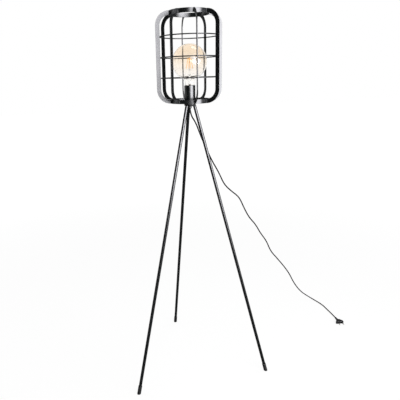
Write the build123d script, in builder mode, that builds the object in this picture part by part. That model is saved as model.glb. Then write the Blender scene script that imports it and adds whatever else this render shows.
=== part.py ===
from build123d import *
import os
from math import asin, atan2, cos, degrees, pi, radians, sin, sqrt, tan

# Wire cage floor lamp on three straight legs, with a globe bulb, in millimetres.
# The origin lies on the floor under the lamp's axis. +Z is up and the back leg points along +Y.

# ---- driving dimensions: cage ----
total_height = 1400.0
cage_height = 314.0
cage_diameter = 240.0
cage_turn = -3.1  # degrees from -Y to the first rib
rib_count = 8
rib_depth = 15.0
rib_thickness = 2.0
rib_flat = 1.5  # straight run of a rib between its band and its corner
band_diameter = 141.0
band_height = 15.0
band_thickness = 2.0
hoop_wire = 4.0
hoop_middle_rise = 159.5  # middle hoop above the cage's underside
hoop_spacing = 70.0
bar_width = 30.0
bar_thickness = 3.0

# ---- driving dimensions: hub and what holds it together ----
hub_diameter = 42.0
hub_drop = 10.0  # pitch circle of the legs below the cage
bar_rise = 4.0  # cross bar above the cage's underside
hub_flat = 16.0  # flat in the middle of the coned underside
hub_chamfer = 0.8
hub_round = 1.5
spot_depth = 0.5
nipple_diameter = 10.0
nipple_bore = 7.0
nipple_above_bar = 7.0
nipple_in_hub = 9.0
washer_diameter = 18.0
washer_thickness = 0.8
washer_teeth = 12
washer_notch = 2.2
washer_notch_width = 1.5
grip_diameter = 12.0
grip_length = 8.0
grip_shank = 4.0
grip_chamfer = 1.5

# ---- driving dimensions: legs ----
leg_names = ["leg_back", "leg_left", "leg_right"]  # from the back leg, evenly round
leg_diameter = 12.0
leg_wall = 1.0
leg_pitch_radius = 17.0
foot_circle_radius = 307.0
stud_diameter = 8.0
stud_in_hub = 10.0
stud_in_leg = 14.0
stud_chamfer = 0.8
insert_length = 18.0
foot_wall = 1.2
foot_sleeve = 28.0
foot_round = 0.8
foot_sole = 3.0  # least rubber between tube and floor

# ---- driving dimensions: lampholder ----
holder_diameter = 40.0
holder_wall = 1.5
holder_base_height = 14.0
holder_top = 62.0  # rim above the cage's underside
holder_edge = 2.5
holder_rim_round = 0.8
holder_lip = 1.0
holder_boss_diameter = 16.0
holder_boss_height = 5.0
holder_ledge = 2.0  # inside the base, under the core
core_floor = 8.0
core_recess = 3.0  # core below the rim
cup_depth = 33.4
mouth_depth = 6.0
mouth_gap = 1.5
shell_thickness = 0.4
shell_start = 4.0  # threaded shell above the cup's floor
shell_height = 23.0
tongue_width = 6.0
tongue_inset = 3.0  # foot of the tongue from the shell's inner wall
tongue_thickness = 0.6
tongue_spring = 3.2
terminal_radius = 10.0
terminal_diameter = 6.0
terminal_height = 2.4
slot_width = 1.0
slot_depth = 0.8
wire_diameter = 2.2
wire_spread = 2.8
wire_bend = 2.5

# ---- driving dimensions: bulb ----
bulb_diameter = 125.0
bulb_length = 176.0
glass_wall = 1.0
neck_diameter = 38.0
neck_in_cap = 17.0
neck_bend = 3.0
neck_blend = 16.0
cap_diameter = 26.2
cap_length = 22.0
cap_rim = 28.0
cap_flange = 2.0
cap_step = 1.0
cap_wall = 0.5
bead_height = 5.0
bead_end = 14.0
bead_in_cap = 2.0
tip_diameter = 9.5
tip_height = 1.5
tip_shank = 3.0
tip_round = 1.0
contact_gap = 0.3
stem_diameter = 8.0
stem_height = 84.0  # top of the stem above the contact
stem_flare = 1.5
stem_wall = 1.0
filament_diameter = 2.0
filament_count = 4
filament_top_radius = 5.0
filament_foot_radius = 12.0
filament_top_height = 127.0
filament_foot_height = 91.0
lead_diameter = 0.8
lead_bend = 1.0
lead_reach = 2.0  # each lead runs straight on from its stick before it turns

# ---- driving dimensions: cord and plug ----
cord_diameter = 5.5
relief_length = 22.0
relief_start = 8.0
relief_end = 11.0
relief_grooves = 4
relief_core = 7.5
groove_width = 1.4
plug_width = 35.3
plug_thickness = 13.7
plug_rear = 14.0
plug_length = 22.0
plug_straight = 7.0
plug_edge = 2.0
pin_diameter = 4.0
pin_length = 19.0
pin_round = 1.0
pin_spacing = 18.6

# ---- clearances ----
thread_gap = 0.05
fit_gap = 0.05
moving_gap = 0.35
cord_floor_gap = 0.1

# ---- the cord's route: x, y and height as a share of the hub's, 0 where it lies on the floor ----
cord_route = [
    (0, 0, 1),
    (0, 0, 0.9712),
    (28, 20, 0.9396),
    (50, 36, 0.8941),
    (84, 61, 0.8355),
    (116, 83, 0.7844),
    (153, 109, 0.7351),
    (184, 129, 0.6812),
    (230, 159, 0.6422),
    (279, 190, 0.6069),
    (311, 208, 0.552),
    (346, 228, 0.5),
    (391, 252, 0.4563),
    (427, 270, 0.4043),
    (469, 289, 0.3569),
    (499, 301, 0.2993),
    (544, 316, 0.2519),
    (588, 328, 0.2045),
    (629, 334, 0.1533),
    (661, 336, 0.0957),
    (703, 333, 0.0437),
    (757, 314, 0.0093),
    (782, 250, 0),
    (778, 196, 0),
]
plug_line = [(772, 150), (768, 112)]  # the last run, level with the plug that lies on the floor
cord_bend_share = 0.45  # of the shorter run, taken by each bend

# ---- derived sizes ----
band_radius = band_diameter / 2
cage_radius = cage_diameter / 2
rib_start = band_radius - band_thickness
rib_bend = cage_radius - rib_start - rib_flat
rib_inner_radius = cage_radius - rib_depth
cage_bottom = total_height - cage_height
bar_bottom = cage_bottom + bar_rise
bar_top = bar_bottom + bar_thickness
hoop_radius = rib_inner_radius - hoop_wire / 2
hoop_middle = cage_bottom + hoop_middle_rise
hub_radius = hub_diameter / 2
pitch_height = cage_bottom - hub_drop
leg_tilt = atan2(foot_circle_radius - leg_pitch_radius, pitch_height)
hub_bottom = pitch_height - (leg_pitch_radius - hub_flat / 2) * tan(leg_tilt)
hub_edge_bottom = pitch_height + (hub_radius - leg_pitch_radius) * tan(leg_tilt)
thread_bore = nipple_diameter / 2 + thread_gap
stud_bore = stud_diameter / 2 + thread_gap
holder_radius = holder_diameter / 2
holder_floor = bar_top + washer_thickness
holder_seam = holder_floor + holder_base_height
holder_rim = cage_bottom + holder_top
core_radius = holder_radius - holder_wall - fit_gap
core_top = holder_rim - core_recess
shell_inner = cap_diameter / 2 + moving_gap
shell_outer = shell_inner + shell_thickness
core_bore = shell_outer + fit_gap
core_cup_floor = core_top - cup_depth
core_bottom = core_cup_floor - core_floor
contact_height = core_cup_floor + tongue_spring + tongue_thickness
bulb_bottom = contact_height + contact_gap
bulb_centre = bulb_bottom + bulb_length - bulb_diameter / 2
cord_start = pitch_height
cord_lying = cord_diameter / 2 + cord_floor_gap
legs = {name: 90 + number * 360 / len(leg_names) for number, name in enumerate(leg_names)}

os.makedirs("parts", exist_ok=True)


def save(piece, name):
    """Labels a finished piece and writes its STEP file."""
    piece.label = name
    export_step(piece, f"parts/{name}.step")


# ---- cage ----
def band(bottom):
    """A flat-bar band round the lamp's axis."""
    with BuildPart() as ring:
        with BuildSketch(Plane.XY.offset(bottom)):
            Circle(band_radius)
            Circle(band_radius - band_thickness, mode=Mode.SUBTRACT)
        extrude(amount=band_height)
    return ring.part


def rib(angle):
    """A C-shaped flat bar on edge, its ends cut to seat on the two bands."""
    radial = Vector(cos(radians(angle)), sin(radians(angle)), 0)
    side = Plane(origin=(0, 0, 0), x_dir=radial, z_dir=radial.cross(Vector(0, 0, 1)))
    with BuildPart() as bar:
        with BuildSketch(side):
            with BuildLine():
                FilletPolyline(
                    (rib_start, total_height),
                    (cage_radius, total_height),
                    (cage_radius, cage_bottom),
                    (rib_start, cage_bottom),
                    radius=rib_bend,
                )
                Line((rib_start, cage_bottom), (rib_start, cage_bottom + rib_depth))
                FilletPolyline(
                    (rib_start, cage_bottom + rib_depth),
                    (rib_inner_radius, cage_bottom + rib_depth),
                    (rib_inner_radius, total_height - rib_depth),
                    (rib_start, total_height - rib_depth),
                    radius=rib_bend - rib_depth,
                )
                Line((rib_start, total_height - rib_depth), (rib_start, total_height))
            make_face()
        extrude(amount=rib_thickness / 2, both=True)
        with BuildSketch(Plane.XY):
            Circle(band_radius)
        extrude(amount=total_height, mode=Mode.SUBTRACT)
    return bar.part


def hoop(height):
    """A round-wire hoop that touches the inner edges of all the ribs."""
    with BuildPart() as ring:
        with BuildSketch(Plane.XZ):
            with Locations((hoop_radius, height)):
                Circle(hoop_wire / 2)
        revolve(axis=Axis.Z)
    return ring.part


save(band(total_height - band_height), "top_ring")
save(band(cage_bottom), "bottom_ring")
for number in range(rib_count):
    save(rib(cage_turn - 90 + number * 360 / rib_count), f"rib_{number + 1}")
for level, name in enumerate(("hoop_lower", "hoop_middle", "hoop_upper")):
    save(hoop(hoop_middle + (level - 1) * hoop_spacing), name)

with BuildPart() as cross_bar:
    with BuildSketch(Plane.XY.offset(bar_bottom)):
        Circle(band_radius - band_thickness)
        Rectangle(band_diameter, bar_width, rotation=cage_turn, mode=Mode.INTERSECT)
        Circle(thread_bore, mode=Mode.SUBTRACT)
    extrude(amount=bar_thickness)
save(cross_bar.part, "cross_bar")


# ---- legs: their planes look down each leg, with the pitch circle at height 0 ----
def leg_plane(angle):
    """The plane square to a leg at the pitch circle, its normal pointing down the leg."""
    outward = Vector(cos(radians(angle)), sin(radians(angle)), 0)
    down = outward * sin(leg_tilt) - Vector(0, 0, cos(leg_tilt))
    top = outward * leg_pitch_radius + Vector(0, 0, pitch_height)
    return Plane(origin=top, x_dir=outward.cross(Vector(0, 0, 1)), z_dir=down)


leg_to_floor = pitch_height / cos(leg_tilt)
tube_top = moving_gap - spot_depth
tube_end = leg_to_floor - foot_sole - leg_diameter / 2 * tan(leg_tilt)
foot_radius = leg_diameter / 2 + foot_wall

# ---- hub ----
with BuildPart() as hub:
    with BuildSketch(Plane.XZ):
        with BuildLine():
            Polyline(
                (0, hub_bottom),
                (hub_flat / 2, hub_bottom),
                (hub_radius, hub_edge_bottom),
                (hub_radius, bar_bottom),
                (0, bar_bottom),
                close=True,
            )
        make_face()
    revolve(axis=Axis.Z)
    chamfer(hub.edges().filter_by(GeomType.CIRCLE).sort_by(Axis.Z)[-1], hub_chamfer)
    fillet(hub.edges().filter_by(GeomType.CIRCLE).group_by(SortBy.RADIUS)[-1].sort_by(Axis.Z)[0], hub_round)
    with BuildSketch(Plane.XY.offset(hub_bottom)):
        Circle(thread_bore)
    extrude(amount=bar_bottom - hub_bottom, mode=Mode.SUBTRACT)
    for angle in legs.values():
        seat = leg_plane(angle)
        with BuildSketch(seat.offset(-spot_depth)):
            Circle(leg_diameter / 2 + moving_gap)
        extrude(amount=leg_diameter, mode=Mode.SUBTRACT)
        with BuildSketch(seat.offset(-spot_depth - stud_in_hub - moving_gap)):
            Circle(stud_bore)
        extrude(amount=stud_in_hub + leg_diameter, mode=Mode.SUBTRACT)
save(hub.part, "hub")

with BuildPart() as nipple:
    with BuildSketch(Plane.XY.offset(bar_bottom - nipple_in_hub)):
        Circle(nipple_diameter / 2)
        Circle(nipple_bore / 2, mode=Mode.SUBTRACT)
    extrude(amount=nipple_in_hub + bar_thickness + nipple_above_bar)
save(nipple.part, "threaded_nipple")

with BuildPart() as washer:
    with BuildSketch(Plane.XY.offset(bar_top)):
        Circle(washer_diameter / 2)
        Circle(thread_bore + fit_gap, mode=Mode.SUBTRACT)
        with PolarLocations(washer_diameter / 2, washer_teeth):
            Rectangle(washer_notch, washer_notch_width, mode=Mode.SUBTRACT)
    extrude(amount=washer_thickness)
save(washer.part, "lock_washer")

with BuildPart() as cord_grip:
    with BuildSketch(Plane.XZ):
        with BuildLine():
            Polyline(
                (cord_diameter / 2 + fit_gap, hub_bottom - grip_length),
                (grip_diameter / 2 - grip_chamfer, hub_bottom - grip_length),
                (grip_diameter / 2, hub_bottom - grip_length + grip_chamfer),
                (grip_diameter / 2, hub_bottom),
                (nipple_diameter / 2, hub_bottom),
                (nipple_diameter / 2, hub_bottom + grip_shank),
                (cord_diameter / 2 + fit_gap, hub_bottom + grip_shank),
                close=True,
            )
        make_face()
    revolve(axis=Axis.Z)
save(cord_grip.part, "cord_grip")

# ---- each leg: stud, tube with its threaded insert, and foot ----
for leg, angle in legs.items():
    plane = leg_plane(angle)
    with BuildPart() as stud:
        with BuildSketch(plane.offset(-spot_depth - stud_in_hub)):
            Circle(stud_diameter / 2)
        extrude(amount=spot_depth + stud_in_hub + tube_top + stud_in_leg)
        chamfer(stud.edges().filter_by(GeomType.CIRCLE), stud_chamfer)
    save(stud.part, f"{leg}_stud")

    with BuildPart() as insert:
        with BuildSketch(plane.offset(tube_top)):
            Circle(leg_diameter / 2 - leg_wall)
            Circle(stud_bore, mode=Mode.SUBTRACT)
        extrude(amount=insert_length)
    save(insert.part, f"{leg}_insert")

    with BuildPart() as tube:
        with BuildSketch(plane.offset(tube_top)):
            Circle(leg_diameter / 2)
            Circle(leg_diameter / 2 - leg_wall, mode=Mode.SUBTRACT)
        extrude(amount=tube_end - tube_top)
    save(tube.part, leg)

    with BuildPart() as foot:
        with BuildSketch(plane.offset(tube_end - foot_sleeve)):
            Circle(foot_radius)
        extrude(amount=foot_sleeve + 2 * foot_radius)
        fillet(foot.edges().filter_by(GeomType.CIRCLE).sort_by(Axis.Z)[-1], foot_round)
        with BuildSketch(plane.offset(tube_end - foot_sleeve)):
            Circle(leg_diameter / 2)
        extrude(amount=foot_sleeve, mode=Mode.SUBTRACT)
        split(bisect_by=Plane.XY, keep=Keep.TOP)
    save(foot.part, f"{leg}_foot")

# ---- lampholder ----
with BuildPart() as holder_base:
    with BuildSketch(Plane.XZ):
        with BuildLine():
            Polyline(
                (0, holder_floor),
                (holder_radius, holder_floor),
                (holder_radius, holder_seam),
                (holder_radius - holder_wall, holder_seam),
                (holder_radius - holder_wall, core_bottom),
                (holder_radius - holder_wall - holder_ledge, core_bottom),
                (holder_radius - holder_wall - holder_ledge, holder_floor + holder_wall),
                (holder_boss_diameter / 2, holder_floor + holder_wall),
                (holder_boss_diameter / 2, holder_floor + holder_wall + holder_boss_height),
                (0, holder_floor + holder_wall + holder_boss_height),
                close=True,
            )
        make_face()
    revolve(axis=Axis.Z)
    fillet(holder_base.edges().filter_by(GeomType.CIRCLE).sort_by(Axis.Z)[0], holder_edge)
    with BuildSketch(Plane.XY.offset(holder_floor)):
        Circle(thread_bore)
    extrude(amount=holder_base_height, mode=Mode.SUBTRACT)
save(holder_base.part, "holder_base")

with BuildPart() as holder_sleeve:
    with BuildSketch(Plane.XZ):
        with BuildLine():
            Polyline(
                (holder_radius - holder_wall, holder_seam),
                (holder_radius, holder_seam),
                (holder_radius, holder_rim),
                (holder_radius - holder_wall - holder_lip, holder_rim),
                (holder_radius - holder_wall - holder_lip, holder_rim - holder_wall),
                (holder_radius - holder_wall, holder_rim - holder_wall),
                close=True,
            )
        make_face()
    revolve(axis=Axis.Z)
    fillet(holder_sleeve.edges().group_by(Axis.Z)[-1].sort_by(SortBy.RADIUS)[-1], holder_rim_round)
save(holder_sleeve.part, "holder_sleeve")

with BuildPart() as holder_core:
    with BuildSketch(Plane.XY.offset(core_bottom)):
        Circle(core_radius)
    extrude(amount=core_top - core_bottom)
    with BuildSketch(Plane.XY.offset(core_cup_floor)):
        Circle(core_bore)
    extrude(amount=cup_depth, mode=Mode.SUBTRACT)
    with BuildSketch(Plane.XY.offset(core_top - mouth_depth)):
        Circle(cap_rim / 2 + mouth_gap)
    extrude(amount=mouth_depth, mode=Mode.SUBTRACT)
save(holder_core.part, "holder_core")

with BuildPart() as holder_shell:
    with BuildSketch(Plane.XY.offset(core_cup_floor + shell_start)):
        Circle(shell_outer)
        Circle(shell_inner, mode=Mode.SUBTRACT)
    extrude(amount=shell_height)
save(holder_shell.part, "holder_shell")

tongue_start = tongue_inset - shell_inner
tongue_plane = Plane(origin=(0, 0, core_cup_floor), x_dir=(1, 0, 0), z_dir=(0, -1, 0))
with BuildPart() as holder_contact:
    with BuildSketch(tongue_plane):
        with BuildLine():
            Polyline(
                (tongue_start, 0),
                (tongue_start + tongue_width, 0),
                (-tongue_width / 2, tongue_spring),
                (tongue_width / 2, tongue_spring),
                (tongue_width / 2, tongue_spring + tongue_thickness),
                (-tongue_width / 2, tongue_spring + tongue_thickness),
                (tongue_start + tongue_width, tongue_thickness),
                (tongue_start, tongue_thickness),
                close=True,
            )
        make_face()
    extrude(amount=tongue_width / 2, both=True)
save(holder_contact.part, "holder_contact")

with BuildPart() as terminal_screws:
    with BuildSketch(Plane.XY.offset(core_bottom - terminal_height)):
        with GridLocations(2 * terminal_radius, 0, 2, 1):
            Circle(terminal_diameter / 2)
    extrude(amount=terminal_height)
    with BuildSketch(Plane.XY.offset(core_bottom - terminal_height)):
        with GridLocations(2 * terminal_radius, 0, 2, 1):
            Rectangle(slot_width, terminal_diameter)
    extrude(amount=slot_depth, mode=Mode.SUBTRACT)
save(terminal_screws.part, "terminal_screws")


def wire(points, diameter, bend):
    """A round wire along straight runs joined by arcs of one radius, or of a list of radii."""
    with BuildPart() as strand:
        with BuildLine() as path:
            FilletPolyline(*points, radius=bend)
        with BuildSketch(Plane(origin=path.line @ 0, z_dir=path.line % 0)):
            Circle(diameter / 2)
        sweep()
    return strand.part


wire_level = core_bottom - terminal_height / 2
inner_strands = []
for side in (-1, 1):
    near = side * wire_spread / 2
    end = side * (terminal_radius - terminal_diameter / 2)
    strand = [(near, 0, cord_start), (near, 0, wire_level), (end, 0, wire_level)]
    inner_strands.append(wire(strand, wire_diameter, wire_bend))
save(Compound(inner_strands), "inner_wires")

# ---- bulb: its lowest point is the contact tip ----
bead_bottom = bulb_bottom + tip_height
cap_bottom = bead_bottom + bead_height
cap_top = cap_bottom + cap_length
flange_bottom = cap_top - cap_flange
cap_inner = cap_diameter / 2 - cap_wall
neck_foot_radius = cap_inner - glass_wall / 2
neck_foot = cap_top - neck_in_cap
globe_radius = bulb_diameter / 2


def globe(inset):
    """The space inside the bulb's outline, drawn in by a wall."""
    neck_radius = neck_diameter / 2
    blend_x = neck_radius + neck_blend
    blend_z = bulb_centre - sqrt((globe_radius + neck_blend) ** 2 - blend_x**2)
    turn = 90 - degrees(asin(blend_x / (globe_radius + neck_blend)))
    with BuildPart() as solid:
        with BuildSketch(Plane.XZ):
            with BuildLine():
                neck = FilletPolyline(
                    (neck_foot_radius - inset, neck_foot),
                    (neck_foot_radius - inset, cap_top),
                    (neck_radius - inset, cap_top + neck_radius - neck_foot_radius),
                    (neck_radius - inset, blend_z),
                    radius=neck_bend,
                )
                CenterArc((blend_x, blend_z), neck_blend + inset, 180, -turn)
                CenterArc((0, bulb_centre), globe_radius - inset, -turn, 90 + turn)
                Polyline((0, bulb_centre + globe_radius - inset), (0, neck_foot), neck @ 0)
            make_face()
        revolve(axis=Axis.Z)
    return solid.part


outer_globe = globe(0)
inner_globe = globe(glass_wall)
with BuildPart() as bulb_glass:
    add(outer_globe)
    add(inner_globe, mode=Mode.SUBTRACT)
save(bulb_glass.part, "bulb_glass")

with BuildPart() as bulb_cap:
    with BuildSketch(Plane.XZ):
        with BuildLine():
            Polyline(
                (cap_inner, cap_bottom),
                (cap_diameter / 2, cap_bottom),
                (cap_diameter / 2, flange_bottom - cap_step),
                (cap_rim / 2, flange_bottom),
                (cap_rim / 2, cap_top),
                (cap_rim / 2 - cap_wall, cap_top),
                (cap_rim / 2 - cap_wall, flange_bottom + cap_wall),
                (cap_inner, flange_bottom - cap_step + cap_wall),
                close=True,
            )
        make_face()
    revolve(axis=Axis.Z)
save(bulb_cap.part, "bulb_cap")

with BuildPart() as bulb_insulator:
    with BuildSketch(Plane.XZ):
        with BuildLine():
            Polyline(
                (tip_shank / 2 + fit_gap, bead_bottom),
                (bead_end / 2, bead_bottom),
                (cap_inner, cap_bottom),
                (cap_inner, cap_bottom + bead_in_cap),
                (tip_shank / 2 + fit_gap, cap_bottom + bead_in_cap),
                close=True,
            )
        make_face()
    revolve(axis=Axis.Z)
save(bulb_insulator.part, "bulb_insulator")

with BuildPart() as bulb_contact:
    with BuildSketch(Plane.XY.offset(bulb_bottom)):
        Circle(tip_diameter / 2)
    extrude(amount=tip_height - moving_gap)
    fillet(bulb_contact.edges().sort_by(Axis.Z)[0], tip_round)
    with BuildSketch(Plane.XY.offset(bulb_bottom)):
        Circle(tip_shank / 2)
    extrude(amount=tip_height + bead_height)
save(bulb_contact.part, "bulb_contact")

stem_top = bulb_bottom + stem_height
stem_radius = stem_diameter / 2
flare_radius = neck_foot_radius - glass_wall
with BuildPart() as bulb_stem:
    with BuildSketch(Plane.XZ):
        with BuildLine():
            Polyline(
                (flare_radius - stem_flare, neck_foot),
                (flare_radius, neck_foot),
                (flare_radius, neck_foot + stem_flare),
                (stem_radius, neck_foot + flare_radius),
                (stem_radius, stem_top),
                (0, stem_top),
                (0, neck_foot + flare_radius),
                (stem_radius - stem_wall, neck_foot + flare_radius),
                close=True,
            )
        make_face()
    revolve(axis=Axis.Z)
save(bulb_stem.part, "bulb_stem")


def rod(start, end, diameter):
    """A straight round rod from one point to another."""
    line = Vector(end) - Vector(start)
    with BuildPart() as piece:
        with BuildSketch(Plane(origin=start, z_dir=line)):
            Circle(diameter / 2)
        extrude(amount=line.length)
    return piece.part


sticks = []
leads = []
for number in range(filament_count):
    angle = radians(cage_turn + 90 + number * 360 / filament_count)
    outward = Vector(cos(angle), sin(angle), 0)
    top = outward * filament_top_radius + Vector(0, 0, bulb_bottom + filament_top_height)
    foot = outward * filament_foot_radius + Vector(0, 0, bulb_bottom + filament_foot_height)
    reach = (top - foot).normalized() * lead_reach
    crown = Vector(0, 0, (top + reach).Z)
    socket = outward * (stem_radius - 2 * lead_diameter) + Vector(0, 0, (foot - reach).Z)
    sticks.append(rod(foot, top, filament_diameter))
    leads.append(wire([top, top + reach, crown], lead_diameter, lead_bend))
    anchor = (socket.X, socket.Y, stem_top)
    leads.append(wire([foot, foot - reach, socket, anchor], lead_diameter, lead_bend))
leads.append(rod((0, 0, stem_top), crown, lead_diameter))

with BuildPart() as bulb_filament:
    add(sticks)
save(bulb_filament.part, "bulb_filament")

with BuildPart() as filament_leads:
    add(leads)
save(filament_leads.part, "filament_leads")

# ---- cord: straight runs joined by the largest arcs that they allow ----
route = [Vector(x, y, max(share * cord_start, cord_lying)) for x, y, share in cord_route]
route += [Vector(x, y, plug_thickness / 2) for x, y in plug_line]
runs = [b - a for a, b in zip(route, route[1:])]
cord_bends = [
    cord_bend_share * min(a.length, b.length) / tan(radians(a.get_angle(b) / 2))
    for a, b in zip(runs, runs[1:])
]
print("cord radii", [round(bend) for bend in cord_bends])
cord = wire(route, cord_diameter, cord_bends)
cord_length = cord.volume / (pi * cord_diameter**2 / 4)
print("cord length by volume", round(cord_length))
save(cord, "cord")

# ---- plug, lying flat: its planes start at the cord's end and look along the cord ----
cord_end = route[-1]
heading = runs[-1].normalized()
sideways = heading.cross(Vector(0, 0, 1))
plug_face = relief_length + plug_length


def plug_plane(distance):
    """A plane square to the plug, a distance from the cord's end."""
    return Plane(origin=cord_end + heading * distance, x_dir=sideways, z_dir=heading)


with BuildPart() as plug_relief:
    with BuildSketch(plug_plane(0)):
        Circle(relief_start / 2)
    with BuildSketch(plug_plane(relief_length)):
        Circle(relief_end / 2)
    loft()
    for number in range(relief_grooves):
        with BuildSketch(plug_plane(relief_length * (number + 1) / (relief_grooves + 1))):
            Circle(relief_end)
            Circle(relief_core / 2, mode=Mode.SUBTRACT)
        extrude(amount=groove_width, mode=Mode.SUBTRACT)
save(plug_relief.part, "plug_relief")

with BuildPart() as plug_body:
    with BuildSketch(Plane(origin=cord_end, x_dir=heading, z_dir=(0, 0, 1))):
        with BuildLine():
            Polyline(
                (relief_length, -plug_rear / 2),
                (plug_face - plug_straight, -plug_width / 2),
                (plug_face, -plug_width / 2),
                (plug_face, plug_width / 2),
                (plug_face - plug_straight, plug_width / 2),
                (relief_length, plug_rear / 2),
                close=True,
            )
        make_face()
    extrude(amount=plug_thickness / 2, both=True)
    flats = plug_body.faces().sort_by(Axis.Z)
    fillet(flats[0].edges() + flats[-1].edges(), plug_edge)
save(plug_body.part, "plug_body")

with BuildPart() as plug_pins:
    with BuildSketch(plug_plane(plug_face)):
        with GridLocations(pin_spacing, 0, 2, 1):
            Circle(pin_diameter / 2)
    extrude(amount=pin_length)
    tips = plug_pins.faces().group_by(Axis(origin=cord_end, direction=heading))[-1]
    fillet(tips.edges(), pin_round)
save(plug_pins.part, "plug_pins")
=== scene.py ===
import logging
import math
from dataclasses import dataclass
from enum import Enum
from typing import Any, Iterable, Sequence

import bmesh
import bpy
from mathutils import Matrix, Vector


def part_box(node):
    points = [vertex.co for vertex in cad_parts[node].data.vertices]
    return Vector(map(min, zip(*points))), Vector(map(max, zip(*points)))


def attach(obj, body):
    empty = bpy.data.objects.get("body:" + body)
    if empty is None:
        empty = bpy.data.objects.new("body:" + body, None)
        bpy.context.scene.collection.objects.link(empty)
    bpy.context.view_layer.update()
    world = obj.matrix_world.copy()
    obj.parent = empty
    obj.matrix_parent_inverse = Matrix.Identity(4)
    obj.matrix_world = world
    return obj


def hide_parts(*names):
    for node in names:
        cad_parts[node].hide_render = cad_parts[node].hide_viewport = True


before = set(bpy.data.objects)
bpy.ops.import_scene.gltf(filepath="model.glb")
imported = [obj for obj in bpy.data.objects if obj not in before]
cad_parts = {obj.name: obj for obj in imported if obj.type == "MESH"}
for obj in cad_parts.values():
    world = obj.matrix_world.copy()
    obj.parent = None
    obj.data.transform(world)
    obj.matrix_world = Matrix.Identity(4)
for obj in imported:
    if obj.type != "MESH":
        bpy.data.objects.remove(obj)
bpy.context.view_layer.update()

log = logging.getLogger("cage_lamp")

MM = 0.001
PLUG_REACH = 44 * MM  # from the cord's end to the plug's face
WHITE = (1.0, 1.0, 1.0, 1.0)
Colour = tuple[float, float, float]
Point = tuple[float, float, float]
Socket = bpy.types.NodeSocket
Material = bpy.types.Material
Mesh = bpy.types.Mesh


class Body(Enum):
    """The bodies that the lamp's pieces ride on."""

    LAMP = "lamp"
    BULB = "bulb"
    BULB_THREAD = "bulb_thread"


class Leg(Enum):
    """The three legs, each with the direction of its foot in degrees from +X."""

    LEFT = ("leg_left", 210.0)
    RIGHT = ("leg_right", 330.0)
    BACK = ("leg_back", 90.0)


class Thread(Enum):
    """The threads on the lamp: pitch and depth in metres."""

    STUD = (1.25 * MM, 0.45 * MM)
    CAP = (3.629 * MM, 1.1 * MM)


# ---- shader and geometry maths ----
class Value:
    """A number in a node tree. Arithmetic on it adds Math nodes."""

    def __init__(self, recipe: "Recipe", socket: Socket) -> None:
        """Keeps the tree that the number lives in and the socket that gives it."""
        self.recipe = recipe
        self.socket = socket

    def math(self, operation: str, *others: Any) -> "Value":
        """Adds one Math node with this value as its first input.

        Args:
            operation: Blender's name of the operation.
            others: The node's other inputs, numbers or values.

        Returns:
            The node's result.
        """
        inputs = dict(enumerate((self, *others)))
        made = self.recipe.node("ShaderNodeMath", {"operation": operation}, inputs)
        return Value(self.recipe, made.outputs[0])

    def __add__(self, other: Any) -> "Value":
        """This value plus another."""
        return self.math("ADD", other)

    __radd__ = __add__

    def __sub__(self, other: Any) -> "Value":
        """This value less another."""
        return self.math("SUBTRACT", other)

    def __rsub__(self, other: Any) -> "Value":
        """A number less this value."""
        return self.math("MULTIPLY_ADD", -1.0, other)

    def __mul__(self, other: Any) -> "Value":
        """This value times another."""
        return self.math("MULTIPLY", other)

    __rmul__ = __mul__

    def __truediv__(self, other: Any) -> "Value":
        """This value divided by another."""
        return self.math("DIVIDE", other)

    def past(self, edge: float, width: float) -> "Value":
        """A soft step from 0 below an edge to 1 above it.

        Args:
            edge: Where the step is half way.
            width: How wide the step is.

        Returns:
            The step, from 0 to 1.
        """
        settings = {"interpolation_type": "SMOOTHSTEP"}
        span = {"Value": self, "From Min": edge - width / 2, "From Max": edge + width / 2}
        return Value(self.recipe, self.recipe.node("ShaderNodeMapRange", settings, span).outputs[0])


class Recipe:
    """A node tree, and the call that adds each node to it."""

    def __init__(self, tree: bpy.types.NodeTree) -> None:
        """Starts with an empty tree."""
        self.tree = tree
        self.tree.nodes.clear()

    def node(
        self, kind: str, settings: dict | None = None, values: dict | None = None
    ) -> bpy.types.Node:
        """Adds a node.

        Args:
            kind: Blender's name of the node's type.
            settings: Its settings, set first.
            values: Its inputs by name or number, each a number, a value or a socket to link.

        Returns:
            The node.
        """
        made = self.tree.nodes.new(kind)
        for key, setting in (settings or {}).items():
            setattr(made, key, setting)
        for key, value in (values or {}).items():
            source = value.socket if isinstance(value, Value) else value
            if isinstance(source, Socket):
                self.tree.links.new(source, made.inputs[key])
            else:
                made.inputs[key].default_value = source
        return made

    def parts(self, vector: Socket) -> tuple[Value, Value, Value]:
        """A vector's three numbers."""
        x, y, z = self.node("ShaderNodeSeparateXYZ", None, {0: vector}).outputs
        return Value(self, x), Value(self, y), Value(self, z)

    def ray(self, kind: str) -> Value:
        """1 for rays of a kind, such as Camera or Glossy, and 0 for the rest."""
        return Value(self, self.node("ShaderNodeLightPath").outputs[f"Is {kind} Ray"])


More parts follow.
